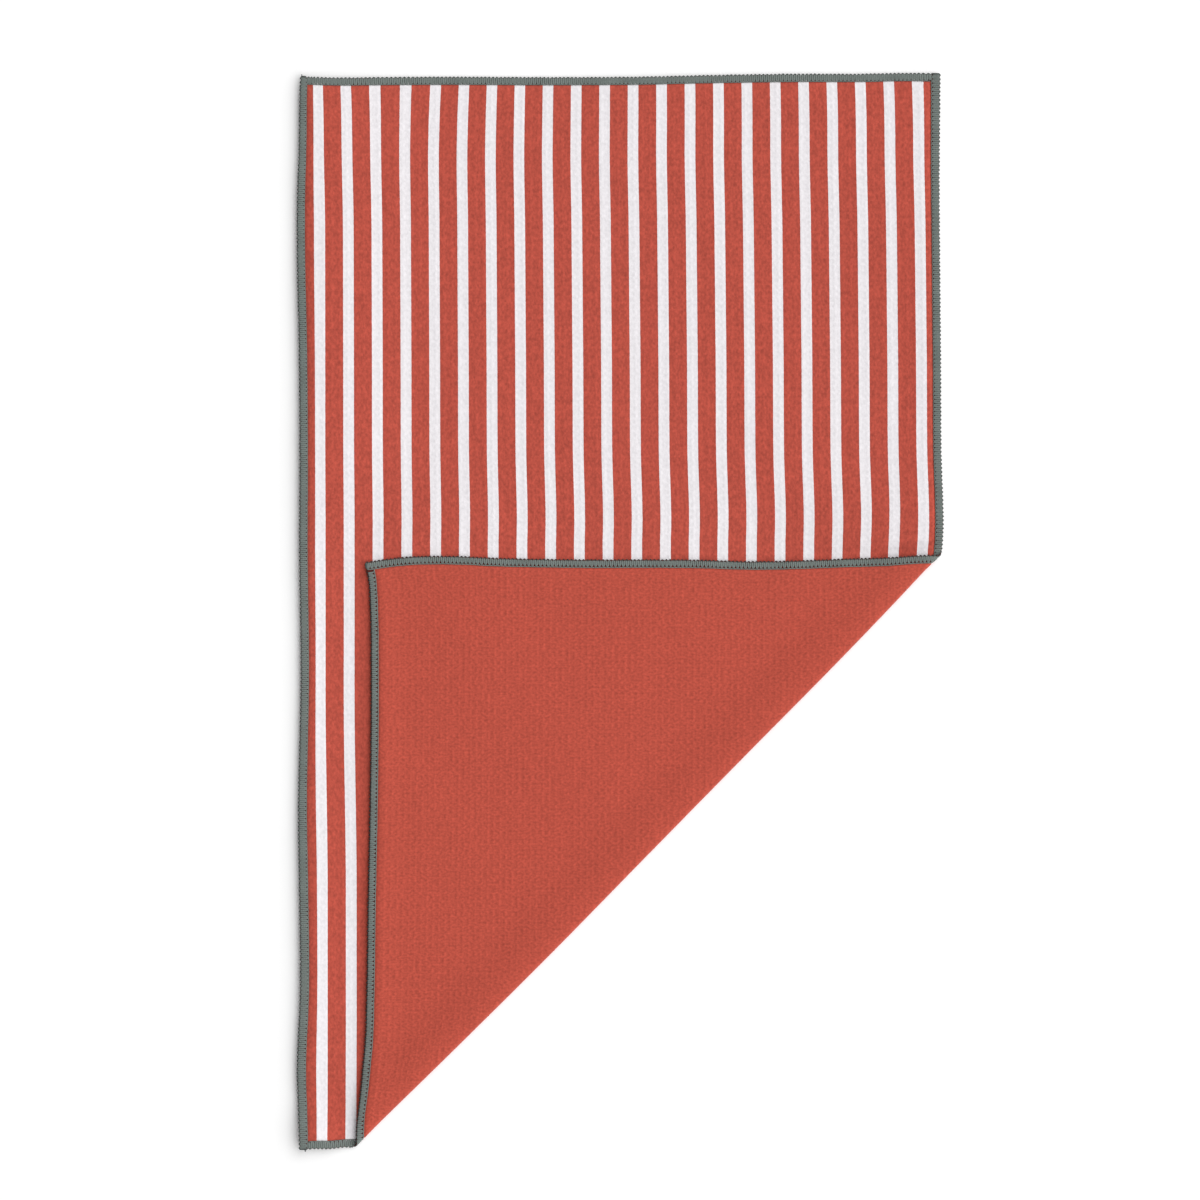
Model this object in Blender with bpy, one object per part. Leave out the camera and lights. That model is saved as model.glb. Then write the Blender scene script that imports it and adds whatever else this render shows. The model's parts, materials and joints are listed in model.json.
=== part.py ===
"""Golf towel: one ply of microfibre waffle cloth, overlocked with three threads along each of its four
sides, and lying on its back with its lower right corner folded over its face on a 45 degree crease.

Metres, +Z up. z = 0 is the surface that the towel rests on, +Y runs along its length and +X across its
width, and the origin is the middle of the flat cut. Every piece is modelled in the flat cut. The pieces of
the corner are then turned over together on the crease's axis, so half a turn back on that axis gives the
flat towel again.
"""

import math

import bmesh
import bpy
from mathutils import Matrix, Vector

# The flat cut
WIDTH = 0.4572
LENGTH = 0.7620
CLOTH_THICKNESS = 0.0018

# The overlock edging. Each looper thread lies as a flat web, one on the face and one on the back.
EDGING_WIDTH = 0.0060
WEB_THICKNESS = 0.0004
LIP_THICKNESS = 0.0004
NEEDLE_THREAD = 0.0004
SQUEEZED_PLY = 0.0005
SHOULDER = 0.0008

# The folded corner: the strip of the bottom side that it leaves in place, and the radius inside its bend
BOTTOM_STRIP = 0.0405
BEND_HOLLOW = 0.0016

# What is left of the thread chain where a seam runs off a corner
TAIL_LENGTH = 0.0012
TAIL_RADIUS = 0.0005
TAIL_TIP_RADIUS = 0.0003
TOP_TAIL_INSET = 0.0014
BOTTOM_TAIL_INSET = 0.0042

# Clearance that touching pieces keep
GAP = 0.0003

ARC_STEPS = 12
LIP_ARC_STEPS = 4
TAIL_SIDES = 12
SHARP_ANGLE = math.radians(40)
WELD = 1e-6
CUT_TOLERANCE = 1e-7

# What follows from the sizes above
WEB_WIDTH = EDGING_WIDTH - NEEDLE_THREAD - GAP
PLY_LOW = WEB_THICKNESS + GAP
PLY_HIGH = PLY_LOW + SQUEEZED_PLY
FACE_WEB_LOW = PLY_HIGH + GAP
EDGING_THICKNESS = FACE_WEB_LOW + WEB_THICKNESS
LAYER = max(CLOTH_THICKNESS, EDGING_THICKNESS)
FOLD_REACH = WIDTH - BOTTOM_STRIP

UP = Vector((0, 0, 1))
CORNER = Vector((WIDTH / 2, -LENGTH / 2, 0))
INWARD = Vector((-1, 1, 0)).normalized()
ALONG = Vector((1, 1, 0)).normalized()

# Depths are measured from the corner along INWARD. The cloth leaves the panel at PANEL_EDGE, turns over in
# half a circle that reaches out to FOLD_DEPTH, and comes back over the panel.
AXIS_HEIGHT = LAYER + BEND_HOLLOW
FOLD_DEPTH = FOLD_REACH / math.sqrt(2)
BEND_CENTRE = FOLD_DEPTH + AXIS_HEIGHT
PANEL_EDGE = BEND_CENTRE + GAP
BEND_LENGTH = math.pi * (AXIS_HEIGHT - CLOTH_THICKNESS / 2) + 2 * GAP
FLAP_EDGE = PANEL_EDGE - BEND_LENGTH
AXIS_POINT = CORNER + INWARD * (PANEL_EDGE - BEND_LENGTH / 2) + UP * AXIS_HEIGHT

CLOTH_RED = "#ba5143"
THREAD_GREY = "#6f7974"
CLOTH_ROUGHNESS = 0.92
THREAD_ROUGHNESS = 0.75


def linear(hex_colour):
    """An sRGB hex colour as linear red, green, blue and alpha."""
    channels = [int(hex_colour[i : i + 2], 16) / 255 for i in (1, 3, 5)]
    return [c / 12.92 if c <= 0.04045 else ((c + 0.055) / 1.055) ** 2.4 for c in channels] + [1]


def clear_scene():
    for obj in list(bpy.data.objects):
        bpy.data.objects.remove(obj)


def finish(obj, hex_colour, roughness):
    """Gives a piece its own cloth or thread material."""
    material = bpy.data.materials.new(obj.name + "_finish")
    material.use_nodes = True
    shader = material.node_tree.nodes["Principled BSDF"]
    shader.inputs["Base Color"].default_value = linear(hex_colour)
    shader.inputs["Roughness"].default_value = roughness
    shader.inputs["Metallic"].default_value = 0.0
    material.diffuse_color = linear(hex_colour)
    obj.data.materials.clear()
    obj.data.materials.append(material)


def new_piece(name, mesh):
    obj = bpy.data.objects.new(name, mesh)
    TOWEL.objects.link(obj)
    return obj


def piece_from_bmesh(name, shape):
    mesh = bpy.data.meshes.new(name)
    shape.to_mesh(mesh)
    shape.free()
    return new_piece(name, mesh)


def extrusion(name, outline, length, placing):
    """A closed outline in local X and Y, given a length along local Z about its middle, and then placed."""
    curve = bpy.data.curves.new(name, "CURVE")
    curve.dimensions = "2D"
    curve.fill_mode = "BOTH"
    curve.extrude = length / 2
    spline = curve.splines.new("POLY")
    spline.points.add(len(outline) - 1)
    for point, (x, y) in zip(spline.points, outline):
        point.co = (x, y, 0, 1)
    spline.use_cyclic_u = True
    guide = bpy.data.objects.new(name + "_outline", curve)
    TOWEL.objects.link(guide)
    graph = bpy.context.evaluated_depsgraph_get()
    mesh = bpy.data.meshes.new_from_object(guide.evaluated_get(graph))
    bpy.data.objects.remove(guide)
    mesh.name = name
    shape = bmesh.new()
    shape.from_mesh(mesh)
    bmesh.ops.remove_doubles(shape, verts=shape.verts, dist=WELD)
    bmesh.ops.recalc_face_normals(shape, faces=shape.faces)
    bmesh.ops.transform(shape, matrix=placing, verts=shape.verts)
    shape.to_mesh(mesh)
    shape.free()
    return new_piece(name, mesh)


def cut_at(obj, depth, keep_corner):
    """Cuts obj upright and parallel to the crease, at this depth from the corner, and closes the cut."""
    shape = bmesh.new()
    shape.from_mesh(obj.data)
    cut = bmesh.ops.bisect_plane(
        shape,
        geom=shape.verts[:] + shape.edges[:] + shape.faces[:],
        dist=CUT_TOLERANCE,
        plane_co=CORNER + INWARD * depth,
        plane_no=INWARD if keep_corner else -INWARD,
        clear_outer=True,
    )
    rim = [item for item in cut["geom_cut"] if isinstance(item, bmesh.types.BMEdge)]
    bmesh.ops.contextual_create(shape, geom=rim)
    bmesh.ops.recalc_face_normals(shape, faces=shape.faces)
    shape.to_mesh(obj.data)
    shape.free()


def whole_cloth(name):
    """The flat cut, with its margin squeezed between the edging webs and a shoulder up to the field."""
    inset = LIP_THICKNESS + GAP
    shape = bmesh.new()
    bmesh.ops.create_cube(shape, size=1)
    size = Matrix.Diagonal((WIDTH - 2 * inset, LENGTH - 2 * inset, SQUEEZED_PLY, 1))
    placing = Matrix.Translation(UP * (PLY_LOW + PLY_HIGH) / 2) @ size
    bmesh.ops.transform(shape, matrix=placing, verts=shape.verts)
    margin = EDGING_WIDTH + GAP - inset
    rises = {1: CLOTH_THICKNESS - PLY_HIGH, -1: PLY_LOW}
    for side, rise in rises.items():
        face = next(f for f in shape.faces if f.normal.z * side > 0.5)
        bmesh.ops.inset_region(shape, faces=[face], thickness=margin, use_even_offset=True)
        bmesh.ops.inset_region(shape, faces=[face], thickness=SHOULDER, depth=rise, use_even_offset=True)
    return piece_from_bmesh(name, shape)


def needle_section():
    """Where the needle thread lies: in the step between the face web and the cloth's shoulder."""
    near, far = WEB_WIDTH + GAP, EDGING_WIDTH
    low, high = EDGING_THICKNESS - NEEDLE_THREAD, EDGING_THICKNESS
    return [(near, low), (far, low), (far, high), (near, high)]


def face_looper_section():
    """A flat web over the face, with a lip that turns down over the cloth's raw edge on a rounded corner."""
    top, radius = EDGING_THICKNESS, LIP_THICKNESS
    steps = [math.pi / 2 * i / LIP_ARC_STEPS for i in range(LIP_ARC_STEPS + 1)]
    rounded = [(radius - radius * math.cos(a), top - radius + radius * math.sin(a)) for a in steps]
    web = [(WEB_WIDTH, top), (WEB_WIDTH, FACE_WEB_LOW)]
    lip = [(LIP_THICKNESS, FACE_WEB_LOW), (LIP_THICKNESS, PLY_LOW)]
    return [(0, PLY_LOW), *rounded, *web, *lip]


def back_looper_section():
    return [(0, 0), (WEB_WIDTH, 0), (WEB_WIDTH, WEB_THICKNESS), (0, WEB_THICKNESS)]


THREADS = {
    "needle_thread": needle_section,
    "face_looper": face_looper_section,
    "back_looper": back_looper_section,
}

# Each side: the middle of its outer edge, the direction in from that edge, and its thread's length. The left
# and right seams run the towel's whole length, and the top and bottom seams run between them.
BETWEEN = WIDTH - 2 * (EDGING_WIDTH + GAP)
SIDES = {
    "left_edge": (Vector((-WIDTH / 2, 0, 0)), Vector((1, 0, 0)), LENGTH),
    "top_edge": (Vector((0, LENGTH / 2, 0)), Vector((0, -1, 0)), BETWEEN),
    "right_edge": (Vector((WIDTH / 2, 0, 0)), Vector((-1, 0, 0)), LENGTH),
    "bottom_edge": (Vector((0, -LENGTH / 2, 0)), Vector((0, 1, 0)), BETWEEN),
}
FOLDED_SIDES = ("right_edge", "bottom_edge")


def axes_at(origin, x_axis, y_axis):
    """The placing whose local X and Y are these two directions."""
    turn = Matrix((x_axis, y_axis, x_axis.cross(y_axis))).transposed()
    return Matrix.Translation(origin) @ turn.to_4x4()


def thread_run(name, side, section):
    middle, inward, length = SIDES[side]
    run = extrusion(name, section, length, axes_at(middle, inward, UP))
    finish(run, THREAD_GREY, THREAD_ROUGHNESS)
    return run


def build_cloth():
    """The panel that stays down and the corner that folds, cut from one ply."""
    panel = whole_cloth("cloth_panel")
    cut_at(panel, PANEL_EDGE, keep_corner=False)
    flap = whole_cloth("cloth_flap")
    cut_at(flap, FLAP_EDGE, keep_corner=True)
    for piece in (panel, flap):
        finish(piece, CLOTH_RED, CLOTH_ROUGHNESS)
    return [flap]


def build_crease():
    """The cloth where it turns over: half a ring along the crease, tangent to both layers."""
    steps = [math.pi * (i / ARC_STEPS - 0.5) for i in range(ARC_STEPS + 1)]
    outer, inner = AXIS_HEIGHT, AXIS_HEIGHT - CLOTH_THICKNESS
    outside = [(outer * math.cos(a), outer * math.sin(a)) for a in steps]
    inside = [(inner * math.cos(a), inner * math.sin(a)) for a in reversed(steps)]
    centre = CORNER + INWARD * BEND_CENTRE + UP * AXIS_HEIGHT
    crease = extrusion("cloth_crease", outside + inside, 2 * FLAP_EDGE, axes_at(centre, -INWARD, UP))
    finish(crease, CLOTH_RED, CLOTH_ROUGHNESS)


def build_edging():
    """Three threads along each side. Where the crease crosses a side, each thread is one piece on the panel
    and one on the flap."""
    on_flap = []
    for side in SIDES:
        for thread, section in THREADS.items():
            run = thread_run(f"{side}_{thread}", side, section())
            if side not in FOLDED_SIDES:
                continue
            cut_at(run, PANEL_EDGE, keep_corner=False)
            folded = thread_run(f"flap_{side}_{thread}", side, section())
            cut_at(folded, FLAP_EDGE, keep_corner=True)
            on_flap.append(folded)
    return on_flap


def thread_tail(name, inset, end):
    """A trimmed end of the left seam chain, pointing out past the top (end 1) or the bottom (end -1)."""
    shape = bmesh.new()
    bmesh.ops.create_cone(
        shape,
        cap_ends=True,
        segments=TAIL_SIDES,
        radius1=TAIL_RADIUS,
        radius2=TAIL_TIP_RADIUS,
        depth=TAIL_LENGTH,
    )
    reach = LENGTH / 2 + GAP + TAIL_LENGTH / 2
    middle = Vector((inset - WIDTH / 2, end * reach, EDGING_THICKNESS / 2))
    turn = Matrix.Rotation(-end * math.pi / 2, 4, "X")
    bmesh.ops.transform(shape, matrix=Matrix.Translation(middle) @ turn, verts=shape.verts)
    tail = piece_from_bmesh(name, shape)
    tail.data.shade_smooth()
    tail.data.set_sharp_from_angle(angle=SHARP_ANGLE)
    finish(tail, THREAD_GREY, THREAD_ROUGHNESS)


def fold_over(pieces):
    """Turns the flat pieces of the corner over on the crease's axis, by the empty that they hang from."""
    axis = bpy.data.objects.new("corner_fold_axis", None)
    TOWEL.objects.link(axis)
    to_axis = Matrix.Translation(AXIS_POINT)
    axis.matrix_world = to_axis @ Matrix.Rotation(math.pi, 4, ALONG)
    for piece in pieces:
        piece.parent = axis
        piece.matrix_parent_inverse = to_axis.inverted()


clear_scene()
TOWEL = bpy.data.collections.new("golf_towel")
bpy.context.scene.collection.children.link(TOWEL)
corner_pieces = build_cloth() + build_edging()
build_crease()
thread_tail("top_left_thread_tail", TOP_TAIL_INSET, 1)
thread_tail("bottom_left_thread_tail", BOTTOM_TAIL_INSET, -1)
fold_over(corner_pieces)
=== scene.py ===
"""Looks of a golf towel: one ply of waffle microfibre with printed white stripes, overlocked with three
threads along each side, and lying flat with one corner folded over its face.

Every piece is first made flat, at its place in the cut of cloth. lay() then says where each point of the flat
cut comes to rest, so the cloth and the threads fold and ripple together.
"""

import json
import math

import bpy
import numpy as np
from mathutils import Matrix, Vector


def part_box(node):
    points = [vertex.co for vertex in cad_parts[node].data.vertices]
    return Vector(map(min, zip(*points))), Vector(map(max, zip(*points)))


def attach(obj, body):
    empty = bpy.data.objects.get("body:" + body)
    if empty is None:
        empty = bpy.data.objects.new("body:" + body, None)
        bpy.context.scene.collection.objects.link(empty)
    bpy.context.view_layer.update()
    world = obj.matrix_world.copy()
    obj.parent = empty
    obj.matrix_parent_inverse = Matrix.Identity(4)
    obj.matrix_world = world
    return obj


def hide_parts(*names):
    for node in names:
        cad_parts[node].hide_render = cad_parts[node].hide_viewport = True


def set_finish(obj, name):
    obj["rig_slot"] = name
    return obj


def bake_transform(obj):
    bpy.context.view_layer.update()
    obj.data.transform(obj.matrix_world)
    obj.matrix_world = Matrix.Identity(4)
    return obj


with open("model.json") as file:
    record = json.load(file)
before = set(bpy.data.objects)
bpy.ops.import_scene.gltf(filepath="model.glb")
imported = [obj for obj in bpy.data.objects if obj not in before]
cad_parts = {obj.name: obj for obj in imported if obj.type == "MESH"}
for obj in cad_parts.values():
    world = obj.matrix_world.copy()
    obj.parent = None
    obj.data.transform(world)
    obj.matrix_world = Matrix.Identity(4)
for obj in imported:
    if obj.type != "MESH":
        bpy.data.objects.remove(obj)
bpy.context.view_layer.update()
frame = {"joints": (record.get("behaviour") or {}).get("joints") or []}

bl_info = {
    "name": "Golf towel",
    "version": (1, 0, 0),
    "blender": (4, 5, 0),
    "location": "View3D > Sidebar > Golf towel",
    "description": "Makes a waffle microfibre golf towel with overlocked sides and a folded corner",
    "category": "Object",
}

MM = 0.001

# The frame's own sizes
FACE_LOW, FACE_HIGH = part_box("left_edge_face_looper")
BACK_LOW, BACK_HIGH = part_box("left_edge_back_looper")
NEEDLE_LOW, NEEDLE_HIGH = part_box("left_edge_needle_thread")
CLOTH_LOW, CLOTH_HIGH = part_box("cloth_panel")
HALF_WIDTH = -FACE_LOW.x
HALF_LENGTH = FACE_HIGH.y
CLOTH_HEIGHT = CLOTH_HIGH.z
EDGING_HEIGHT = FACE_HIGH.z
EDGING_WIDTH = NEEDLE_HIGH.x - FACE_LOW.x
WEB_THICKNESS = BACK_HIGH.z
GAP = FACE_LOW.z - BACK_HIGH.z
CLOTH_INSET = CLOTH_LOW.x - FACE_LOW.x
PLY_LOW = FACE_LOW.z
PLY_HIGH = EDGING_HEIGHT - WEB_THICKNESS - GAP
MARGIN = EDGING_WIDTH + GAP
SHOULDER = 0.8 * MM
FIELD_INSET = MARGIN + SHOULDER

# The fold. Depth is measured from the folded corner, square to the crease.
HINGE = frame["joints"][0]
HINGE_X, HINGE_Y, HINGE_HEIGHT = HINGE["pos_m"]
DIAGONAL = math.sqrt(0.5)
HINGE_DEPTH = (HALF_WIDTH - HINGE_X + HINGE_Y + HALF_LENGTH) * DIAGONAL
HALF_PLY = CLOTH_HEIGHT / 2
BEND_RADIUS = HINGE_HEIGHT - HALF_PLY
FOLD_LINE = HINGE_DEPTH + (math.pi / 2 - 1) * BEND_RADIUS - HALF_PLY
BEND_REACH = math.pi / 2 * BEND_RADIUS + GAP

# How far the flap's two free sides wander from straight, in mm, as (distance from the corner, wander)
FLAP_LEFT_SIDE = [(0, 0), (13, 2.0), (38, 3.5), (75, 4.0), (141, 4.2), (250, 4.3), (305, 4.8), (343, 4.6),
                  (361, 3.4), (379, 2.3), (397, 1.4), (417, 0)]
FLAP_TOP_SIDE = [(0, -0.4), (12, 1.0), (25, 2.5), (64, 3.2), (96, 1.6), (131, 0.6), (167, 0), (202, 0),
                 (238, -0.3), (281, -1.8), (317, -1.8), (353, -1.2), (393, -0.9), (417, 0)]

# How far the panel's sides wander outwards, in mm, as (distance from the top or from the left, wander)
LEFT_SIDE = [(0, -1.5), (17, -1.05), (53, -0.5), (88, 0.65), (131, 0.7), (181, -0.4), (280, -1.2),
             (330, -0.95), (430, -1.9), (529, -0.1), (572, -0.7), (650, -1.4), (714, 0.7), (740, -0.3),
             (762, -0.9)]
RIGHT_SIDE = [(0, -0.3), (24, -0.5), (60, -0.85), (160, -0.3), (202, 0.1), (266, 0.4), (330, 1.4), (342, 0.7),
              (352, -0.2)]
TOP_SIDE = [(0, -1.1), (12, -1.4), (30, -1.8), (58, -1.4), (94, -1.0), (186, -1.3), (243, -1.0), (300, 0.3),
            (357, 1.1), (400, 1.1), (440, 1.7), (457, 1.4)]
BOTTOM_SIDE = [(0, 1.6), (10, 1.1), (23, 1.2), (30, 0.6), (41, 0.6), (60, 0)]

# How far the stripes' upper ends wander to the right, in mm, as (distance from the left, wander)
STRIPE_ENDS = [(16, -0.9), (57, -1.0), (77, 0.7), (97, 1.6), (118, 1.4), (159, 0.5), (199, -0.1), (260, -0.5),
               (322, -0.9), (383, -1.5), (444, -1.8)]

# How far the crease wanders inwards, in mm, as (distance along it from its middle, wander)
CREASE = [(-296, 0), (-200, -1.0), (-98, -1.4), (0, -0.4), (100, 0.5), (200, 1.2), (250, 2.2), (296, 3.3)]

# How high the cloth lies off the floor: its long and short ripples, and the lift of each side. Beside the
# crease's upper end the stiff fold pushes the panel up, and from there it dips steeply to the flap's edge.
LONG_RIPPLE, SHORT_RIPPLE = 0.35 * MM, 0.10 * MM
LEFT_LIFT, TOP_LIFT, RIGHT_LIFT, BOTTOM_LIFT, FOLD_LIFT = 3.2 * MM, 0.4 * MM, 0.4 * MM, 5.2 * MM, 3.6 * MM
CREASE_EASE = 70 * MM

# How far the stripes lie to the right under the top seam, and where the flap pushes the lower left strip
SEAM_PULL, STRIP_PUSH = -0.7 * MM, 1.5 * MM

GOLDEN_ANGLE = math.pi * (3 - math.sqrt(5))
FLAT_CUT = "flat_cut"
SHADOW_TONE = 0.22       # how light the cloth and the threads are in the shadow inside a seam


def linear(hex_colour):
    """An sRGB hex colour as linear red, green, blue and alpha."""
    channels = [int(hex_colour[i : i + 2], 16) / 255 for i in (1, 3, 5)]
    return [c / 12.92 if c <= 0.04045 else ((c + 0.055) / 1.055) ** 2.4 for c in channels] + [1]


def length_property(name, description, default):
    return bpy.props.FloatProperty(
        name=name, description=description, default=default, min=0, precision=5, unit="LENGTH"
    )


def angle_property(name, description, degrees):
    return bpy.props.FloatProperty(
        name=name, description=description, default=math.radians(degrees), subtype="ANGLE"
    )


def share_property(name, description, default):
    return bpy.props.FloatProperty(name=name, description=description, default=default, precision=4)


def colour_property(name, description, hex_colour):
    return bpy.props.FloatVectorProperty(
        name=name, description=description, default=linear(hex_colour), size=4, min=0, max=1, subtype="COLOR"
    )


class GolfTowelCloth(bpy.types.PropertyGroup):
    """The waffle cloth and its print."""

    cell_across: length_property("Cell across", "Width of a waffle cell across the towel", 5.7 * MM)
    cell_along: length_property("Cell along", "Length of a waffle cell along the towel", 4.56 * MM)
    pit_depth: length_property("Pit depth", "How deep each waffle cell dips on either side", 0.24 * MM)
    stripe_width: length_property("Stripe width", "Width of a printed white stripe", 7.6 * MM)
    first_stripe: length_property("First stripe", "From the left side to the first white stripe", 11.9 * MM)
    last_stripe: length_property("Last stripe", "From the right side to the last white stripe", 10.3 * MM)
    stripes: bpy.props.IntProperty(name="Stripes", description="Number of white stripes", default=22, min=2)
    face_red: colour_property("Face red", "Dye of the printed face", "#b54d3e")
    back_red: colour_property("Back red", "Dye of the back", "#b74d3d")
    print_white: colour_property("Print white", "Undyed stripes of the print", "#e8e4e7")


class GolfTowelEdging(bpy.types.PropertyGroup):
    """The overlock threads. The real stitches are about 1.4 mm long. They are sewn twice as long here, with
    threads twice as wide, so that the turns and the gaps between them still show."""

    stitch: length_property("Stitch length", "Length of one overlock stitch along the side", 2.86 * MM)
    strand_width: length_property("Strand width", "How wide a looper thread spreads", 1.44 * MM)
    strand_thickness: length_property("Strand thickness", "How thick a looper thread lies", 0.36 * MM)
    needle_width: length_property("Needle thread", "Thickness of the needle thread", 0.50 * MM)
    colour: colour_property("Thread", "Dye of the threads", "#727a76")


class GolfTowelFold(bpy.types.PropertyGroup):
    """How the corner lies after it is folded."""

    middle_radius: length_property("Middle radius", "Radius of the bend in the middle of the crease", 2.0 * MM)
    end_radius: length_property("End radius", "Radius of the bend at the crease's ends", 2.15 * MM)
    end_ease: length_property("End ease", "Along the crease, where the bend tightens from its ends", 60 * MM)
    settle: length_property("Settle", "From the crease to where the flap lies on the panel", 42 * MM)
    rest_gap: length_property("Rest gap", "Between the middles of the two resting plies", 2.1 * MM)
    flare: angle_property("Flare", "How steeply the flap still rises where it leaves the bend", 13)
    curl: length_property("Curl", "How far the flap's free sides curl up", 1.3 * MM)
    slack: share_property("Slack", "Share of the flap's depth that lies in slack", 0.0143)
    skew: share_property("Skew", "How far the flap leans along the crease, as a share of its depth", 0.0176)


class GolfTowelStudio(bpy.types.PropertyGroup):
    """Floor, light and camera."""

    frame_width: length_property("Frame width", "Width of what the camera sees", 0.8538)
    camera_height: length_property("Camera height", "Height of the camera over the towel", 3.0)
    key_strength: share_property("Key light", "Strength of the soft key light", 4.15)
    key_spread: angle_property("Key spread", "How wide the key light looks from the towel", 110)
    key_elevation: angle_property("Key elevation", "How high the key light stands over the floor", 39)
    key_turn: angle_property("Key turn", "How far the key light stands round from the right to the top", 10)
    ambient: share_property("Ambient", "Strength of the light from all round", 0.20)
    floor: colour_property("Floor", "Colour of the floor", "#ffffff")


def smooth(share):
    """0 up to 1, level at both ends."""
    share = np.clip(share, 0, 1)
    return share * share * (3 - 2 * share)


def fades(distance, start, reach):
    """1 up to start, then smoothly down to 0 over reach. Distance is in metres, start and reach in mm."""
    return smooth(1 - (distance - start * MM) / (reach * MM))


def through(points, place):
    """A smooth curve through (place, value) points in mm, level at both ends, read at places in metres."""
    places, values = np.array(points, float).T * MM
    slopes = np.gradient(values, places)
    slopes[[0, -1]] = 0
    i = np.clip(np.searchsorted(places, place) - 1, 0, len(places) - 2)
    step = places[i + 1] - places[i]
    t = np.clip((place - places[i]) / step, 0, 1)
    start = (1 + 2 * t) * (1 - t) ** 2 * values[i] + t * (1 - t) ** 2 * step * slopes[i]
    end = t * t * (3 - 2 * t) * values[i + 1] - t * t * (1 - t) * step * slopes[i + 1]
    return start + end


def ripple(x, y, wavelength, waves, first_angle):
    """Waves that cross in many directions, from -1 to 1 in all."""
    total = 0
    for i in range(waves):
        angle = first_angle + i * GOLDEN_ANGLE
        own = wavelength * (1 + 0.3 * math.sin(2.1 * i + first_angle))
        total = total + np.sin(2 * math.pi * (x * math.cos(angle) + y * math.sin(angle)) / own + 2.4 * i)
    return total / waves


def off_crease(x, y):
    """0 along the crease, up to 1 well away from it."""
    return smooth(((HALF_WIDTH - x + y + HALF_LENGTH) * DIAGONAL - FOLD_LINE) / CREASE_EASE)


def rise(x, y):
    """How far the cloth at this place on the floor is lifted by its own ripples and curled sides."""
    from_left, from_right = x + HALF_WIDTH, HALF_WIDTH - x
    from_top, from_bottom = HALF_LENGTH - y, y + HALF_LENGTH
    swell = LONG_RIPPLE * (1 + ripple(x, y, 120 * MM, 5, 0.4))
    swell = swell + SHORT_RIPPLE * (1 + ripple(x, y, 42 * MM, 7, 1.3))
    reach = 42 + 60 * fades(from_top, 250, 110)
    left = LEFT_LIFT * fades(from_left, 0, reach) * (0.9 + 0.1 * np.sin(y * 19))
    top = TOP_LIFT * fades(from_top, 0, 30) * (1 + np.sin(x * 23 + 1))
    right = RIGHT_LIFT * fades(from_right, 0, 25)
    bottom = BOTTOM_LIFT * fades(from_bottom, 0, 40) * fades(from_left, 12, 32)
    past_flap = 337 * MM + 0.07 * from_right - from_top
    dip = FOLD_LIFT * smooth(past_flap / (8 * MM)) * fades(past_flap, 8, 80) * fades(from_right, 0, 130)
    return (swell + np.maximum.reduce([left, top, right])) * off_crease(x, y) + bottom + dip


def drift(x, y):
    """How far the cloth inside the sides lies off to the right: stretched along the top seam, and pushed aside
    in the strip by the flap."""
    from_left, from_right, from_top = x + HALF_WIDTH, HALF_WIDTH - x, HALF_LENGTH - y
    inside = smooth(from_left / (14 * MM)) * smooth(from_right / (14 * MM))
    ends = through(STRIPE_ENDS, from_left) * np.exp(-np.maximum(from_top - 8 * MM, 0) / (30 * MM))
    pulled = SEAM_PULL * fades(from_top, 50, 60)
    strip = STRIP_PUSH * smooth((from_top - 440 * MM) / (140 * MM)) * fades(from_left, 40, 80)
    return inside * (ends + pulled + strip)


def lean(x, y):
    """How far the right side's wander carries the cloth: its own margin only near the crease, and nearly the
    whole width higher up."""
    from_right, from_top = HALF_WIDTH - x, HALF_LENGTH - y
    beside = through(RIGHT_SIDE, from_top) * fades(from_right, 0, 50)
    across = 1 - np.clip(from_right / (2 * HALF_WIDTH), 0, 1) ** 3
    whole = through(RIGHT_SIDE, np.minimum(from_top, 330 * MM)) * across
    return beside + (whole - beside) * off_crease(x, y)


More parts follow.
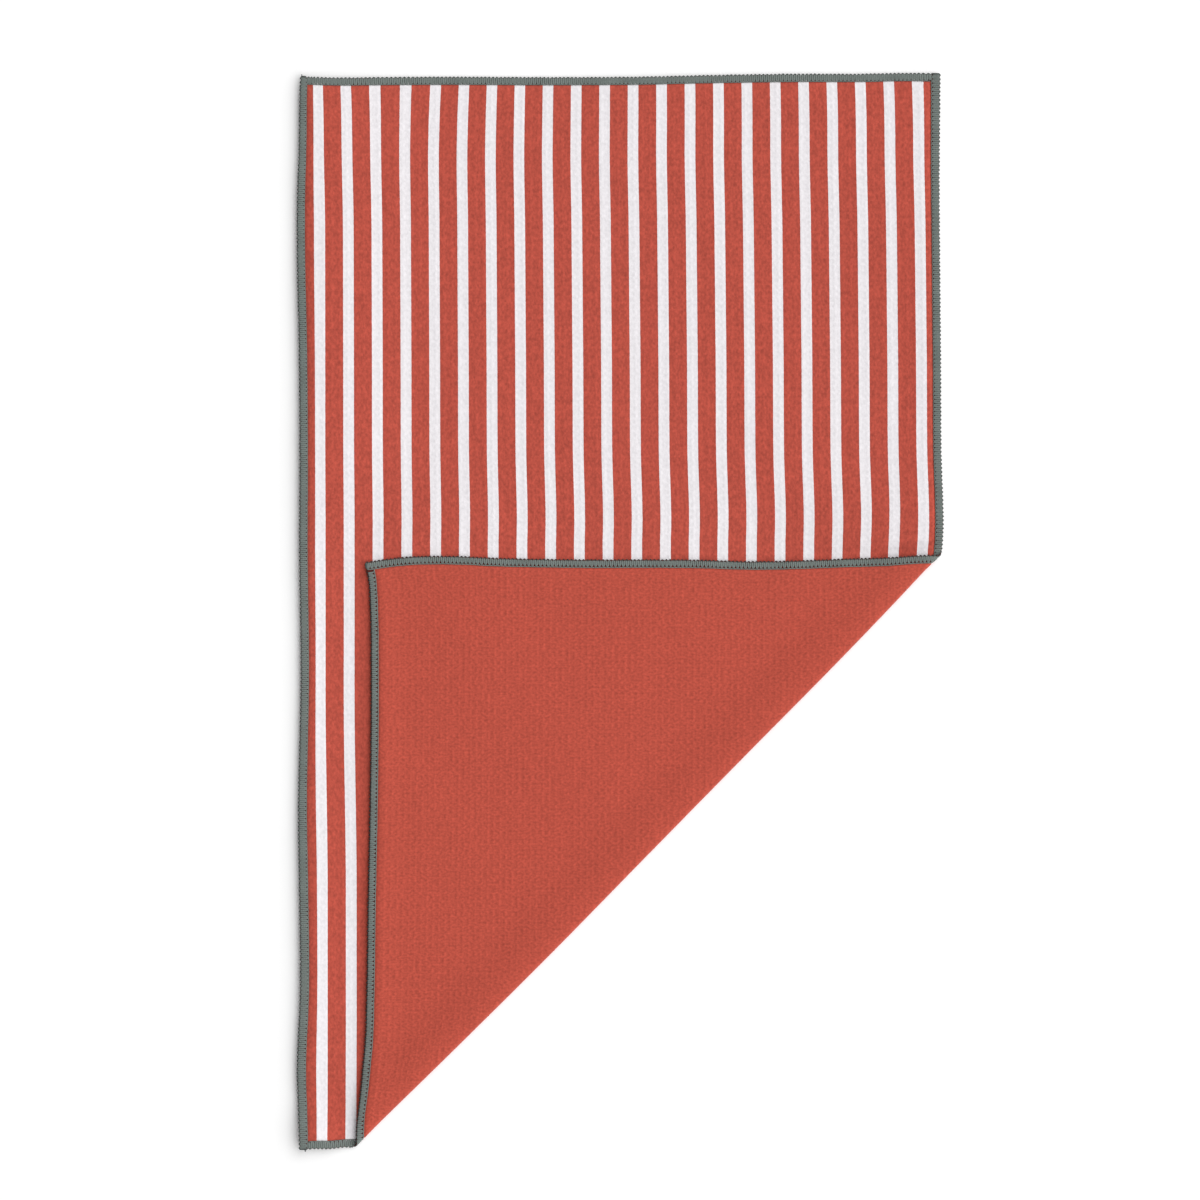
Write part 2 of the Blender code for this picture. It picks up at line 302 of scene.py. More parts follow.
def lay(flat):
    """Where points of the flat cut (metres, height from the cloth's back) lie in the folded towel."""
    fold = bpy.context.scene.golf_towel_fold
    x, y, height = np.asarray(flat, float).T
    from_right, from_bottom = HALF_WIDTH - x, y + HALF_LENGTH
    depth = (from_right + from_bottom) * DIAGONAL
    run = (from_bottom - from_right) * DIAGONAL

    # The bend: half a circle about the hollow inside it, tighter in the middle of the crease.
    from_ends = smooth((FOLD_LINE - abs(run)) / fold.end_ease)
    radius = fold.end_radius + (fold.middle_radius - fold.end_radius) * from_ends
    leaves = FOLD_LINE + through(CREASE, run) + radius + HALF_PLY
    past = leaves - depth
    bend = math.pi - fold.flare
    angle = np.clip(past / radius, 0, bend)
    beyond = np.maximum(past - bend * radius, 0)
    arm = radius - (height - HALF_PLY)

    # Past the bend the flap rises to a low crest and then sinks to where it rests.
    settled = np.clip(beyond / fold.settle, 0, 1)
    crest = fold.flare * fold.settle * settled * (1 - settled) ** 3
    sink = (2 * radius - fold.rest_gap) * smooth(settled) - crest
    folded = past > 0
    depth = np.where(folded, leaves - arm * np.sin(angle) + beyond * (1 - fold.slack), depth)
    height = np.where(folded, HALF_PLY + radius - arm * np.cos(angle) - sink, height)
    run = run + beyond * fold.skew

    x = HALF_WIDTH + (run - depth) * DIAGONAL
    y = (run + depth) * DIAGONAL - HALF_LENGTH

    # The flap: its free sides wander and curl up a little, and it is lightly puckered.
    on_flap = smooth(beyond / (25 * MM))
    wander_left = through(FLAP_LEFT_SIDE, from_right) * fades(from_bottom, 0, 130)
    wander_top = through(FLAP_TOP_SIDE, from_bottom) * fades(from_right, 0, 130)
    pucker = 0.16 * MM * (1 + ripple(x, y, 55 * MM, 7, 2.2))
    curl = fold.curl * np.maximum(fades(from_bottom, 0, 28), 0.6 * fades(from_right, 0, 24))
    height = height + on_flap * (pucker + curl)

    # The panel: its free sides wander, and the cloth between them lies a little off.
    on_panel = 1 - on_flap
    out_left = through(LEFT_SIDE, HALF_LENGTH - y) * fades(x + HALF_WIDTH, EDGING_WIDTH / MM, 10)
    out_top = through(TOP_SIDE, x + HALF_WIDTH) * fades(HALF_LENGTH - y, 0, 50)
    out_bottom = through(BOTTOM_SIDE, x + HALF_WIDTH) * fades(y + HALF_LENGTH, 0, 50)
    aside = lean(x, y) + np.where(folded, 0, drift(x, y))
    lifted = height + rise(x, y)
    x = x + on_flap * wander_left + on_panel * (aside - out_left)
    y = y + on_flap * wander_top + on_panel * (out_top - out_bottom)
    return np.stack([x, y, lifted], axis=1)


def settle_piece(piece):
    """Keeps each point's place in the flat cut for the material, and moves it to where it lies folded."""
    points = np.empty(len(piece.data.vertices) * 3)
    piece.data.vertices.foreach_get("co", points)
    flat = piece.data.attributes.new(FLAT_CUT, "FLOAT_VECTOR", "POINT")
    flat.data.foreach_set("vector", points)
    piece.data.vertices.foreach_set("co", lay(points.reshape(-1, 3)).ravel())
    piece.data.update()


def across_the_crease(piece):
    """Bakes the piece's transform into its mesh while it is still flat."""
    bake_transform(piece)


def add(tree, kind, inputs=None, **settings):
    """Adds a shader node with its settings, and sets or links its inputs."""
    made = tree.nodes.new("ShaderNode" + kind)
    for key, value in settings.items():
        setattr(made, key, value)
    for key, value in (inputs or {}).items():
        if isinstance(value, bpy.types.NodeSocket):
            tree.links.new(value, made.inputs[key])
        else:
            made.inputs[key].default_value = value
    return made


def new_material(name, roughness, sheen, sheen_roughness):
    """A Principled material and its tree, shader included."""
    material = bpy.data.materials.new(name)
    material.use_nodes = True
    tree = material.node_tree
    tree.nodes.clear()
    shader = add(tree, "BsdfPrincipled", {
        "Roughness": roughness, "Sheen Weight": sheen, "Sheen Roughness": sheen_roughness, "IOR": 1.5,
        "Specular IOR Level": 0.25,
    })
    add(tree, "OutputMaterial", {"Surface": shader.outputs["BSDF"]})
    return material, tree, shader


def waffle_material(name, dye, printed):
    """Waffle-knit microfibre, split polyester and polyamide, brushed lightly after dyeing. The eye gets a
    matt surface with a faint sheen, square pits between raised ribs, and a nap whose lay makes soft lighter
    and darker patches. The face is reserve-printed: the stripes are the cloth's own white."""
    cloth = bpy.context.scene.golf_towel_cloth
    material, tree, shader = new_material(name, 0.92, 0.12, 0.5)
    place = add(tree, "Attribute", attribute_name=FLAT_CUT).outputs["Vector"]

    # Waffle cells: the distance from the nearest rib, both ways, on the same grid as the mesh
    cells = field_cells()
    size = field_size()
    grid = add(tree, "Mapping", {
        "Vector": place, "Location": (cells[0] / 2, cells[1] / 2, 0),
        "Scale": (cells[0] / size[0], cells[1] / size[1], 1),
    })
    split = add(tree, "SeparateXYZ", {"Vector": grid.outputs["Vector"]})
    across = add(tree, "Math", {0: split.outputs["X"], 1: 0.5}, operation="PINGPONG")
    along = add(tree, "Math", {0: split.outputs["Y"], 1: 0.5}, operation="PINGPONG")
    inside = add(tree, "Math", {0: across.outputs[0], 1: along.outputs[0], 2: 0.12}, operation="SMOOTH_MIN")
    pit = add(tree, "MapRange", {0: inside.outputs[0], 1: 0.02, 2: 0.34}, interpolation_type="SMOOTHSTEP")

    # Loops of yarn about 0.9 mm apart, drawn about twice as coarse so that they show, and the brushed nap
    yarn = add(tree, "Mapping", {"Vector": place, "Scale": (1 / (1.5 * MM), 1 / (2.4 * MM), 1 / (4 * MM))})
    loops = add(tree, "TexNoise", {"Vector": yarn.outputs["Vector"], "Scale": 1.0, "Detail": 2.0})
    nap = add(tree, "TexNoise", {"Vector": place, "Scale": 1 / (9 * MM), "Detail": 3.0, "Roughness": 0.6})
    patches = add(tree, "TexNoise", {"Vector": place, "Scale": 1 / (70 * MM), "Detail": 1.0})

    shade = add(tree, "MapRange", {0: nap.outputs["Fac"], 1: 0.3, 2: 0.7, 3: 0.955, 4: 1.045})
    grain = add(tree, "MapRange", {0: loops.outputs["Fac"], 1: 0.25, 2: 0.75, 3: 0.77, 4: 1.23})
    # Painted shade: each waffle pit is drawn a little darker and each rib a little lighter
    hollow = add(tree, "MapRange", {0: pit.outputs[0], 3: 1.01, 4: 0.975})
    faded = add(tree, "MapRange", {0: patches.outputs["Fac"], 1: 0.3, 2: 0.7, 3: 0.985, 4: 1.015})
    tone = shade.outputs[0]
    for factor in (grain, hollow, faded, painted_shade_under_threads(tree, place)):
        tone = add(tree, "Math", {0: tone, 1: factor.outputs[0]}, operation="MULTIPLY").outputs[0]

    colour = add(tree, "RGB")
    colour.outputs[0].default_value = dye
    dyed = colour.outputs[0]
    if printed:
        dyed, tone = add_stripes(tree, place, dyed, tone, cloth)
    toned = add(tree, "VectorMath", {0: dyed, "Scale": tone}, operation="SCALE")
    tree.links.new(toned.outputs[0], shader.inputs["Base Color"])

    relief = add(tree, "MapRange", {0: pit.outputs[0], 3: 1.0, 4: 0.0})
    bump = add(tree, "Bump", {"Height": relief.outputs[0], "Distance": 0.10 * MM, "Strength": 1.0})
    fine = add(tree, "Bump", {
        "Height": loops.outputs["Fac"], "Distance": 0.10 * MM, "Strength": 0.8,
        "Normal": bump.outputs["Normal"],
    })
    tree.links.new(fine.outputs["Normal"], shader.inputs["Normal"])
    return material


def from_nearest_side(tree, place):
    """How far in from the nearest side of the flat cut."""
    beside = add(tree, "VectorMath", {0: place}, operation="ABSOLUTE")
    corner = (HALF_WIDTH, HALF_LENGTH, 1)
    inset = add(tree, "VectorMath", {0: corner, 1: beside.outputs[0]}, operation="SUBTRACT")
    split = add(tree, "SeparateXYZ", {"Vector": inset.outputs[0]})
    return add(tree, "Math", {0: split.outputs["X"], 1: split.outputs["Y"]}, operation="MINIMUM").outputs[0]


def painted_shade_under_threads(tree, place):
    """Painted shade: the margin lies in the dark between the threads, where only slits of it show, so its
    colour is darkened to SHADOW_TONE.
    """
    return add(tree, "MapRange", {
        0: from_nearest_side(tree, place), 1: EDGING_WIDTH - 0.1 * MM, 2: EDGING_WIDTH + 0.1 * MM,
        3: SHADOW_TONE, 4: 1.0,
    })


def add_stripes(tree, place, dyed, tone, cloth):
    """Lays the white stripes of the print over the dye. Their edges follow the yarns, so they waver a little,
    and the nap's patches show less on white."""
    margins = cloth.first_stripe + cloth.last_stripe
    step = (2 * HALF_WIDTH - margins - cloth.stripe_width) / (cloth.stripes - 1)
    first_middle = cloth.first_stripe + cloth.stripe_width / 2 - HALF_WIDTH
    waver = add(tree, "TexNoise", {"Vector": place, "Scale": 1 / (3 * MM), "Detail": 2.0})
    shift = add(tree, "MapRange", {0: waver.outputs["Fac"], 3: -0.12 * MM, 4: 0.12 * MM})
    across = add(tree, "SeparateXYZ", {"Vector": place}).outputs["X"]
    moved = add(tree, "Math", {0: across, 1: shift.outputs[0]}, operation="ADD")
    centred = add(tree, "Math", {0: moved.outputs[0], 1: first_middle}, operation="SUBTRACT")
    off = add(tree, "Math", {0: centred.outputs[0], 1: step / 2}, operation="PINGPONG")
    edge = cloth.stripe_width / 2
    printed = add(tree, "MapRange", {
        0: off.outputs[0], 1: edge - 0.12 * MM, 2: edge + 0.12 * MM, 3: 1.0, 4: 0.0,
    }, interpolation_type="SMOOTHSTEP")
    mixed = add(tree, "Mix", {"Factor": printed.outputs[0], 6: dyed, 7: cloth.print_white}, data_type="RGBA")
    calmer = add(tree, "Math", {0: tone, 1: 0.35, 2: 0.65}, operation="MULTIPLY_ADD")
    calmed = add(tree, "Mix", {"Factor": printed.outputs[0], 2: tone, 3: calmer.outputs[0]})
    return mixed.outputs[2], calmed.outputs[0]


def thread_material():
    """Textured polyester overlock thread: soft, crimped filaments that spread flat. The eye gets dull grey
    strands with a low lustre, a twist that shows as slanting shades, painted into the colour as well as
    bumped, and slight differences between them."""
    edging = bpy.context.scene.golf_towel_edging
    material, tree, shader = new_material("textured_polyester_thread", 0.78, 0.1, 0.4)
    strand = add(tree, "UVMap", uv_map="strand").outputs["UV"]
    place = add(tree, "TexCoord").outputs["Object"]

    # The twist turns once in 1.1 mm: UV runs in metres along the strand, and from 0 to 1 round it.
    split = add(tree, "SeparateXYZ", {"Vector": strand})
    turns = add(tree, "Math", {0: split.outputs["X"], 1: 1 / (1.1 * MM), 2: split.outputs["Y"]},
                operation="MULTIPLY_ADD")
    phase = add(tree, "Math", {0: turns.outputs[0], 1: 2 * math.pi}, operation="MULTIPLY")
    twist = add(tree, "Math", {0: phase.outputs[0]}, operation="SINE")
    fibre = add(tree, "TexNoise", {"Vector": place, "Scale": 1 / (0.5 * MM), "Detail": 2.0})
    batch = add(tree, "TexNoise", {"Vector": place, "Scale": 1 / (9 * MM), "Detail": 1.0})

    # Painted shade: the twist's grooves between the plies are drawn darker along the strand
    ply = add(tree, "MapRange", {0: twist.outputs[0], 1: -1.0, 2: 1.0, 3: 0.93, 4: 1.04})
    fluff = add(tree, "MapRange", {0: fibre.outputs["Fac"], 1: 0.3, 2: 0.7, 3: 0.9, 4: 1.1})
    dyeing = add(tree, "MapRange", {0: batch.outputs["Fac"], 1: 0.3, 2: 0.7, 3: 0.96, 4: 1.04})
    # Inside the seam and between the turns over the raw edge, the threads lie in shadow.
    flat = add(tree, "Attribute", attribute_name=FLAT_CUT).outputs["Vector"]
    level = add(tree, "SeparateXYZ", {"Vector": flat})
    above = add(tree, "MapRange", {0: level.outputs["Z"], 1: 0.22 * MM, 2: 0.34 * MM})
    below = add(tree, "MapRange", {0: level.outputs["Z"], 1: 1.2 * MM, 2: 1.5 * MM, 3: 1.0, 4: 0.0})
    inner = add(tree, "Math", {0: above.outputs[0], 1: below.outputs[0]}, operation="MULTIPLY")
    inset = from_nearest_side(tree, flat)
    turned = add(tree, "MapRange", {0: inset, 1: 0.8 * MM, 2: 1.1 * MM, 3: 0.75, 4: 0.0})
    shadow = add(tree, "Math", {0: inner.outputs[0], 1: turned.outputs[0]}, operation="MAXIMUM")
    dark = add(tree, "MapRange", {0: shadow.outputs[0], 3: 1.0, 4: SHADOW_TONE})
    tone = ply.outputs[0]
    for factor in (fluff, dyeing, dark):
        tone = add(tree, "Math", {0: tone, 1: factor.outputs[0]}, operation="MULTIPLY").outputs[0]
    colour = add(tree, "RGB")
    colour.outputs[0].default_value = edging.colour
    toned = add(tree, "VectorMath", {0: colour.outputs[0], "Scale": tone}, operation="SCALE")
    tree.links.new(toned.outputs[0], shader.inputs["Base Color"])

    bump = add(tree, "Bump", {"Height": twist.outputs[0], "Distance": 0.03 * MM, "Strength": 0.7})
    tree.links.new(bump.outputs["Normal"], shader.inputs["Normal"])
    return material


def field_size():
    """Width and length of the waffle field, inside the edging and its shoulder."""
    return 2 * (HALF_WIDTH - FIELD_INSET), 2 * (HALF_LENGTH - FIELD_INSET)


def field_cells():
    """Whole waffle cells across and along the field."""
    cloth = bpy.context.scene.golf_towel_cloth
    width, length = field_size()
    return round(width / cloth.cell_across), round(length / cloth.cell_along)


def flat_cloth():
    """The flat cut as a closed sheet: a grid of waffle cells, and a margin squeezed by the edging."""
    width, length = field_size()
    across, along = field_cells()
    bpy.ops.object.select_all(action="DESELECT")
    bpy.ops.mesh.primitive_grid_add(x_subdivisions=across, y_subdivisions=along, size=1)
    cloth = bpy.context.object
    cloth.name = cloth.data.name = "waffle_cloth"
    bpy.ops.object.mode_set(mode="EDIT")
    bpy.ops.transform.resize(value=(width, length, 1))
    for inset in (MARGIN, CLOTH_INSET):
        new_width, new_length = 2 * (HALF_WIDTH - inset), 2 * (HALF_LENGTH - inset)
        bpy.ops.mesh.select_all(action="SELECT")
        bpy.ops.mesh.region_to_loop()
        bpy.ops.mesh.extrude_edges_move()
        bpy.ops.transform.resize(value=(new_width / width, new_length / length, 1))
        width, length = new_width, new_length
    bpy.ops.object.mode_set(mode="OBJECT")
    solidify = cloth.modifiers.new("ply", "SOLIDIFY")
    solidify.thickness = CLOTH_HEIGHT
    solidify.offset = 0
    bpy.ops.object.modifier_apply(modifier=solidify.name)
    return cloth


def shape_plies(cloth):
    """Sets the height of both faces: full in the field, and squeezed in the margin."""
    for vertex in cloth.data.vertices:
        x, y, z = vertex.co
        inset = min(HALF_WIDTH - abs(x), HALF_LENGTH - abs(y))
        squeezed = inset < MARGIN + SHOULDER / 2
        if z > 0:
            vertex.co.z = PLY_HIGH if squeezed else CLOTH_HEIGHT
        else:
            vertex.co.z = PLY_LOW if squeezed else 0


def sink_pits(cloth):
    """Dips the middle of every waffle cell, on both faces, except where the bend pulls them flat."""
    depth = bpy.context.scene.golf_towel_cloth.pit_depth
    edge_x, edge_y = HALF_WIDTH - FIELD_INSET, HALF_LENGTH - FIELD_INSET
    bpy.ops.object.mode_set(mode="EDIT")
    bpy.ops.mesh.select_all(action="DESELECT")
    bpy.ops.object.mode_set(mode="OBJECT")
    for face in cloth.data.polygons:
        x, y, _ = face.center
        face.select = abs(x) < edge_x and abs(y) < edge_y
    bpy.ops.object.mode_set(mode="EDIT")
    bpy.ops.mesh.select_mode(type="FACE")
    bpy.ops.mesh.poke(offset=-depth)
    bpy.ops.object.mode_set(mode="OBJECT")
    for vertex in cloth.data.vertices:
        x, y, z = vertex.co
        if abs(x) < edge_x and abs(y) < edge_y:
            face = CLOTH_HEIGHT if z > HALF_PLY else 0
            from_crease = abs((HALF_WIDTH - x + y + HALF_LENGTH) * DIAGONAL - HINGE_DEPTH)
            vertex.co.z = face + (z - face) * smooth(from_crease / (4 * BEND_REACH))


def cut_bend_lines():
    """Cuts lines parallel to the crease, close enough together for the cloth to bend round."""
    inward = Vector((-DIAGONAL, DIAGONAL, 0))
    corner = Vector((HALF_WIDTH, -HALF_LENGTH, 0))
    bpy.ops.object.mode_set(mode="EDIT")
    for i in range(-11, 12):
        bpy.ops.mesh.select_all(action="SELECT")
        bpy.ops.mesh.bisect(plane_co=corner + inward * (HINGE_DEPTH + i * 0.5 * MM), plane_no=inward)
    bpy.ops.mesh.select_all(action="SELECT")
    bpy.ops.mesh.quads_convert_to_tris()
    bpy.ops.object.mode_set(mode="OBJECT")


def tube(name, rings, lengths, starts):
    """A mesh of closed tubes from rings of points, with a UV map in metres along and 0 to 1 round. starts
    holds the first ring of each tube."""
    count, sides = rings.shape[:2]
    ends = [*starts[1:], count]
    faces, uvs = [], []
    for start, end in zip(starts, ends):
        for i in range(start, end - 1):
            for j in range(sides):
                k = (j + 1) % sides
                faces.append((i * sides + j, i * sides + k, (i + 1) * sides + k, (i + 1) * sides + j))
                near, far = j / sides, (j + 1) / sides
                uvs += [(lengths[i], near), (lengths[i], far), (lengths[i + 1], far), (lengths[i + 1], near)]
        faces.append(tuple(reversed(range(start * sides, (start + 1) * sides))))
        faces.append(tuple(range((end - 1) * sides, end * sides)))
        uvs += [(lengths[start], 0)] * sides + [(lengths[end - 1], 0)] * sides
    mesh = bpy.data.meshes.new(name)
    mesh.from_pydata(rings.reshape(-1, 3).tolist(), [], faces)
    strand = mesh.uv_layers.new(name="strand")
    strand.data.foreach_set("uv", np.array(uvs, np.float32).ravel())
    piece = bpy.data.objects.new(name, mesh)
    bpy.context.scene.collection.objects.link(piece)
    return piece


def rings_along(path, outward, width, thickness, sides=6):
    """Flattened rings round a path. outward is the direction that each ring's flat side faces."""
    tangent = np.gradient(path, axis=0)
    side = np.cross(tangent, outward)
    side /= np.linalg.norm(side, axis=1, keepdims=True)
    normal = np.cross(side, tangent)
    normal /= np.linalg.norm(normal, axis=1, keepdims=True)
    turn = 2 * math.pi * np.arange(sides) / sides
    wide = (width / 2)[:, None, None] * np.cos(turn)[None, :, None] * side[:, None, :]
    thick = (thickness / 2)[:, None, None] * np.sin(turn)[None, :, None] * normal[:, None, :]
    return path[:, None, :] + wide + thick


# One stitch of each thread: (in from the side in mm, share of the stitch, height, the way it faces in
# degrees, where 90 is up, 180 is out past the side and 270 is down, and its width as a share of the thread's
# own). The face looper's turns stand out past the raw edge as small teeth, with the back looper's behind them.
# The needle thread runs along the face, and its own loops lie doubled on the back.
TOP = EDGING_HEIGHT / MM - 0.18
LOW = 0.18
FACE_LOOPER = [
    (5.35, 0.00, TOP - 0.10, 90, 0.75), (5.05, 0.17, TOP - 0.03, 90, 0.90), (4.4, 0.235, TOP, 90, 1),
    (2.6, 0.25, TOP, 90, 1), (1.5, 0.26, TOP - 0.02, 92, 1), (0.95, 0.31, TOP - 0.05, 100, 0.85),
    (0.50, 0.38, TOP - 0.20, 125, 0.62), (0.14, 0.45, 1.25, 165, 0.50), (0.10, 0.50, 0.90, 180, 0.45),
    (0.14, 0.55, 1.25, 165, 0.50), (0.50, 0.62, TOP - 0.20, 125, 0.62), (0.95, 0.69, TOP - 0.05, 100, 0.85),
    (1.5, 0.74, TOP - 0.02, 92, 1), (2.6, 0.75, TOP, 90, 1), (4.4, 0.765, TOP, 90, 1),
    (5.05, 0.83, TOP - 0.03, 90, 0.90),
]
BACK_LOOPER = [
    (5.05, 0.50, LOW + 0.22, 270, 0.60), (4.75, 0.61, LOW + 0.06, 270, 0.64), (4.30, 0.67, LOW, 270, 0.80),
    (3.5, 0.74, LOW, 270, 1), (1.5, 0.76, LOW + 0.02, 268, 1), (1.10, 0.80, LOW + 0.06, 258, 0.85),
    (0.86, 0.88, LOW + 0.26, 215, 0.60), (0.80, 1.00, 0.75, 180, 0.50), (0.86, 1.12, LOW + 0.26, 215, 0.60),
    (1.10, 1.20, LOW + 0.06, 258, 0.85), (1.5, 1.24, LOW + 0.02, 268, 1), (3.5, 1.26, LOW, 270, 1),
    (4.30, 1.33, LOW, 270, 0.80), (4.75, 1.39, LOW + 0.06, 270, 0.64),
]
NEEDLE = [
    (5.72, 0.08, TOP - 0.12, 75, 0.9), (5.72, 0.25, TOP + 0.02, 90, 1), (5.72, 0.65, TOP + 0.02, 90, 1),
    (5.72, 0.80, TOP - 0.12, 75, 0.9), (5.74, 0.87, 0.95, 0, 0.7), (5.55, 0.88, 0.36, 300, 0.8),
    (5.42, 0.80, LOW, 270, 0.8), (5.38, 0.35, LOW, 270, 0.8), (5.42, -0.10, LOW, 270, 0.8),
    (5.55, -0.18, LOW, 270, 0.8), (5.68, 0.10, LOW, 270, 0.9), (5.68, 0.80, LOW, 270, 0.9),
    (5.74, 0.97, 0.36, 300, 0.8), (5.76, 1.00, 0.95, 0, 0.7),
]
THREADS = {"needle_thread": NEEDLE, "face_looper": FACE_LOOPER, "back_looper": BACK_LOOPER}

# Each side: the start of its outer edge, the direction in from it, the direction along it, and its length
SEAM_START = EDGING_WIDTH - 0.1 * MM
BETWEEN = 2 * (HALF_WIDTH - SEAM_START)
SIDES = {
    "left_edge": ((-HALF_WIDTH, -HALF_LENGTH), (1, 0), (0, 1), 2 * HALF_LENGTH),
    "top_edge": ((SEAM_START - HALF_WIDTH, HALF_LENGTH), (0, -1), (1, 0), BETWEEN),
    "right_edge": ((HALF_WIDTH, HALF_LENGTH), (-1, 0), (0, -1), 2 * HALF_LENGTH),
    "bottom_edge": ((HALF_WIDTH - SEAM_START, -HALF_LENGTH), (0, 1), (-1, 0), BETWEEN),
}
FOLDED_SIDES = ("right_edge", "bottom_edge")


def stitched_thread(name, side, stitch, width, thickness):
    """One thread of a seam, sewn along its side stitch by stitch, still flat."""
    origin, inward, along, length = SIDES[side]
    count = round(length / bpy.context.scene.golf_towel_edging.stitch)
    shape = np.array(stitch)
    number = np.repeat(np.arange(count), len(shape))
    inset, share, height, facing, spread = np.tile(shape, (count, 1)).T
    run = np.clip((number + share) / count, 0.0004, 0.9996) * length
    seed = number * GOLDEN_ANGLE
    inset = (inset + 0.05 * np.sin(seed * 3 + len(name))) * MM
    inward, along = np.array([*inward, 0.0]), np.array([*along, 0.0])
    path = np.array([*origin, 0.0]) + inset[:, None] * inward + run[:, None] * along
    path[:, 2] = height * MM
    facing = np.radians(facing)
    outward = np.cos(facing)[:, None] * inward + np.sin(facing)[:, None] * np.array([0, 0, 1.0])
    width = width * spread * (1 + 0.06 * np.sin(seed * 5))
    rings = rings_along(path, outward, width, np.full(len(path), thickness))
    steps = np.linalg.norm(np.diff(path, axis=0), axis=1)
    return tube(name, rings, np.concatenate([[0], np.cumsum(steps)]), [0])


def twisted_tail(name, node, point_up):
    """What is left of a thread chain: three strands twisted together, ending in a frayed tip."""
    low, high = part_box(node)
    middle = (low + high) / 2
    length = high.y - low.y
    t = np.linspace(0, 1, 13)
    paths, outwards = [], []
    for i in range(3):
        turn = 2 * math.pi * (1.2 * t + i / 3)
        spread = (0.26 - 0.10 * t) * MM
        x = middle.x + spread * np.cos(turn)
        z = middle.z + spread * np.sin(turn)
        y = (low.y - GAP + t * (length + GAP)) if point_up else (high.y + GAP - t * (length + GAP))
        paths.append(np.stack([x, y, z], axis=1))
        outwards.append(np.stack([np.cos(turn), np.zeros(len(t)), np.sin(turn)], axis=1))
    thickness = (0.42 - 0.2 * t) * MM
    rings = np.concatenate([rings_along(p, o, thickness, thickness) for p, o in zip(paths, outwards)])
    return tube(name, rings, np.tile(t * length, 3), [0, len(t), 2 * len(t)])


def finish_thread(piece, material, bodies, nodes):
    """Gives a thread its material, lays it where the towel lies, and attaches it to its body when it lies on
    only one.
    """
    piece.data.materials.append(material)
    piece.data.shade_smooth()
    if len(bodies) == 2:
        across_the_crease(piece)
    settle_piece(piece)
    if len(bodies) == 1:
        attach(piece, bodies[0])
    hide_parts(*nodes)
    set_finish(piece, "edging_thread")


class GOLFTOWEL_OT_waffle_cloth(bpy.types.Operator):
    """Makes the towel's one ply of waffle cloth, printed on its face and folded at the corner"""

    bl_idname = "golf_towel.waffle_cloth"
    bl_label = "Waffle cloth"

    def execute(self, context):
        cloth = flat_cloth()
        shape_plies(cloth)
        sink_pits(cloth)
        cut_bend_lines()
        settings = context.scene.golf_towel_cloth
        cloth.data.materials.append(waffle_material("printed_waffle_microfibre", settings.face_red, True))
        cloth.data.materials.append(waffle_material("waffle_microfibre_back", settings.back_red, False))
        for face in cloth.data.polygons:
            face.material_index = 0 if face.normal.z > 0.5 else 1
        across_the_crease(cloth)
        bpy.ops.object.shade_smooth_by_angle(angle=math.radians(50))
        settle_piece(cloth)
        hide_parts("cloth_panel", "cloth_crease", "cloth_flap")
        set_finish(cloth, "waffle_cloth")
        return {"FINISHED"}


class GOLFTOWEL_OT_overlock_edging(bpy.types.Operator):
    """Sews the three overlock threads along each of the four sides"""

    bl_idname = "golf_towel.overlock_edging"
    bl_label = "Overlock edging"

    def execute(self, context):
        settings = context.scene.golf_towel_edging
        material = thread_material()
        for side in SIDES:
            for thread, stitch in THREADS.items():
                needle = thread == "needle_thread"
                width = settings.needle_width if needle else settings.strand_width
                thickness = settings.needle_width * 0.8 if needle else settings.strand_thickness
                node = f"{side}_{thread}"
                piece = stitched_thread(node + "_strand", side, stitch, width, thickness)
                if side in FOLDED_SIDES:
                    finish_thread(piece, material, ["panel", "flap"], [node, "flap_" + node])
                else:
                    finish_thread(piece, material, ["panel"], [node])
        return {"FINISHED"}


class GOLFTOWEL_OT_thread_tails(bpy.types.Operator):
    """Twists the two trimmed ends of the left seam's thread chain"""

    bl_idname = "golf_towel.thread_tails"
    bl_label = "Thread tails"

    def execute(self, context):
        material = bpy.data.materials["textured_polyester_thread"]
        for node, point_up in (("top_left_thread_tail", True), ("bottom_left_thread_tail", False)):
            finish_thread(twisted_tail(node + "_strands", node, point_up), material, ["panel"], [node])
        return {"FINISHED"}


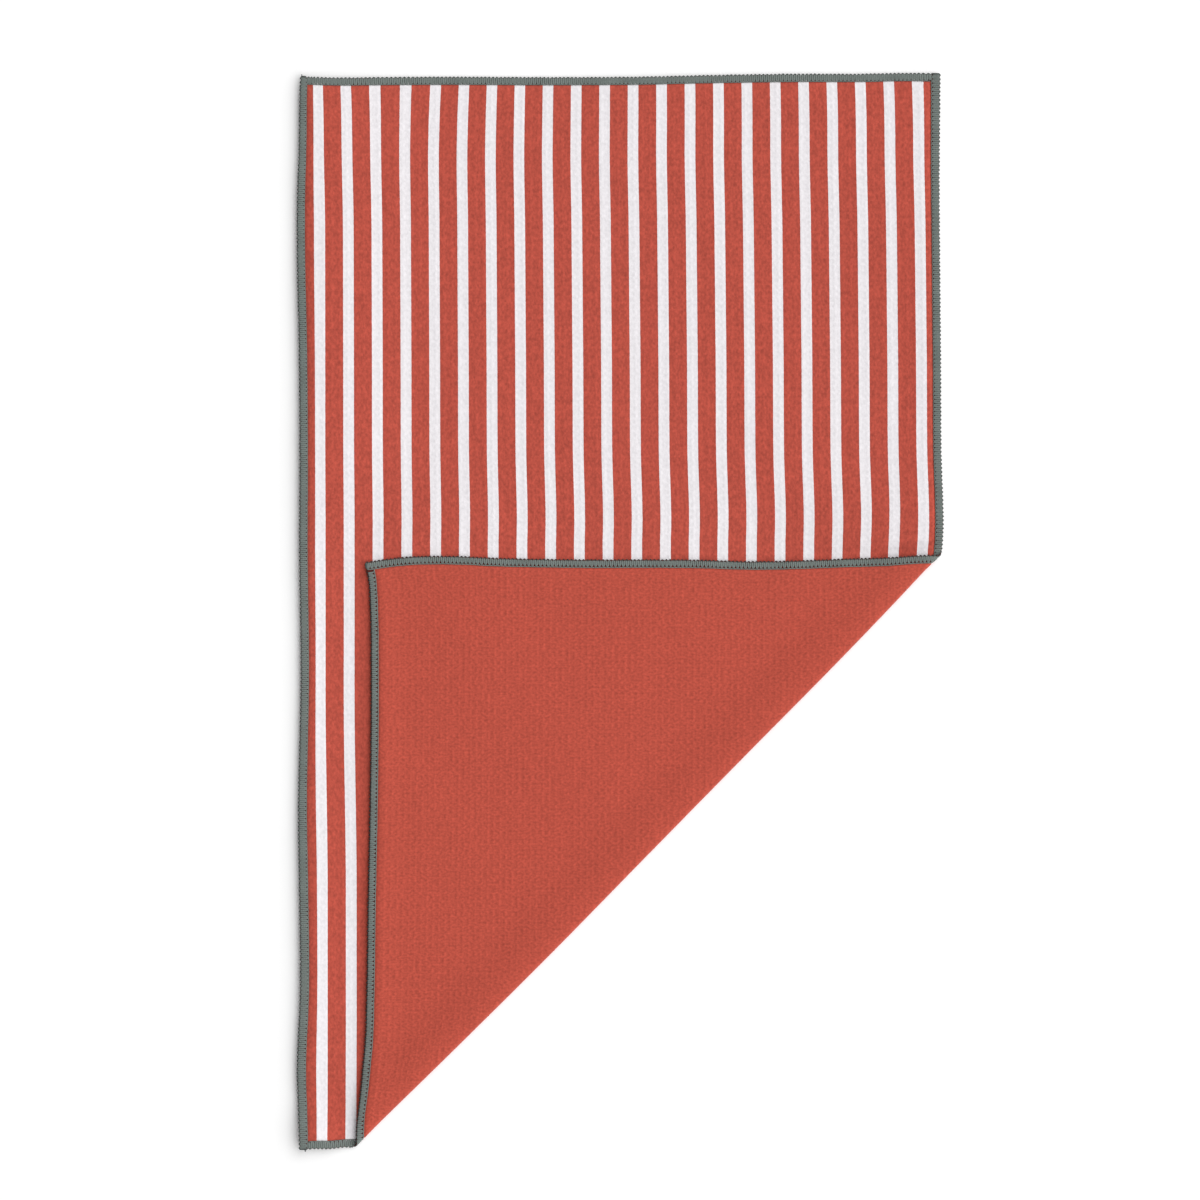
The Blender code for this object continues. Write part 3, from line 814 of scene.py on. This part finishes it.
class GOLFTOWEL_OT_studio(bpy.types.Operator):
    """Makes the pale floor, the soft light and the camera straight above"""

    bl_idname = "golf_towel.studio"
    bl_label = "Studio"

    def execute(self, context):
        studio = context.scene.golf_towel_studio
        bpy.ops.object.select_all(action="DESELECT")
        bpy.ops.mesh.primitive_plane_add(size=8)
        floor = context.object
        floor.name = "studio_floor"
        paper = bpy.data.materials.new("matt_white_paper")
        paper.use_nodes = True
        shader = paper.node_tree.nodes["Principled BSDF"]
        shader.inputs["Base Color"].default_value = studio.floor
        shader.inputs["Roughness"].default_value = 1.0
        shader.inputs["Specular IOR Level"].default_value = 0.0
        floor.data.materials.append(paper)

        world = bpy.data.worlds.new("studio_surround")
        world.use_nodes = True
        world.node_tree.nodes["Background"].inputs["Color"].default_value = (1, 1, 1, 1)
        world.node_tree.nodes["Background"].inputs["Strength"].default_value = studio.ambient
        context.scene.world = world

        bpy.ops.object.light_add(type="SUN", location=(1, 0.7, 2.6))
        key = context.object
        key.name = "soft_key"
        key.data.energy = studio.key_strength
        key.data.angle = studio.key_spread
        key.rotation_euler = (0, math.pi / 2 - studio.key_elevation, studio.key_turn)

        bpy.ops.object.camera_add(location=(-13.9 * MM, 7.8 * MM, studio.camera_height), rotation=(0, 0, 0))
        camera = context.object
        camera.data.sensor_width = 36
        camera.data.lens = camera.data.sensor_width * studio.camera_height / studio.frame_width
        context.scene.camera = camera
        context.scene.view_settings.view_transform = "Standard"
        return {"FINISHED"}


class GOLFTOWEL_PT_panel(bpy.types.Panel):
    """Lists the towel's settings and the steps that make it"""

    bl_label = "Golf towel"
    bl_space_type = "VIEW_3D"
    bl_region_type = "UI"
    bl_category = "Golf towel"

    def draw(self, context):
        for step, settings in STEPS:
            box = self.layout.box()
            box.operator(step.bl_idname)
            if settings:
                group = getattr(context.scene, settings)
                for name in group.__annotations__:
                    box.prop(group, name)


STEPS = [
    (GOLFTOWEL_OT_waffle_cloth, "golf_towel_cloth"),
    (GOLFTOWEL_OT_overlock_edging, "golf_towel_edging"),
    (GOLFTOWEL_OT_thread_tails, "golf_towel_fold"),
    (GOLFTOWEL_OT_studio, "golf_towel_studio"),
]
SETTINGS = {
    "golf_towel_cloth": GolfTowelCloth,
    "golf_towel_edging": GolfTowelEdging,
    "golf_towel_fold": GolfTowelFold,
    "golf_towel_studio": GolfTowelStudio,
}
CLASSES = [*SETTINGS.values(), *(step for step, _ in STEPS), GOLFTOWEL_PT_panel]


def register():
    for cls in CLASSES:
        bpy.utils.register_class(cls)
    for name, group in SETTINGS.items():
        setattr(bpy.types.Scene, name, bpy.props.PointerProperty(type=group))


def unregister():
    for name in SETTINGS:
        delattr(bpy.types.Scene, name)
    for cls in reversed(CLASSES):
        bpy.utils.unregister_class(cls)


def main():
    register()
    bpy.ops.golf_towel.waffle_cloth()
    bpy.ops.golf_towel.overlock_edging()
    bpy.ops.golf_towel.thread_tails()
    bpy.ops.golf_towel.studio()


if __name__ == "__main__":
    main()
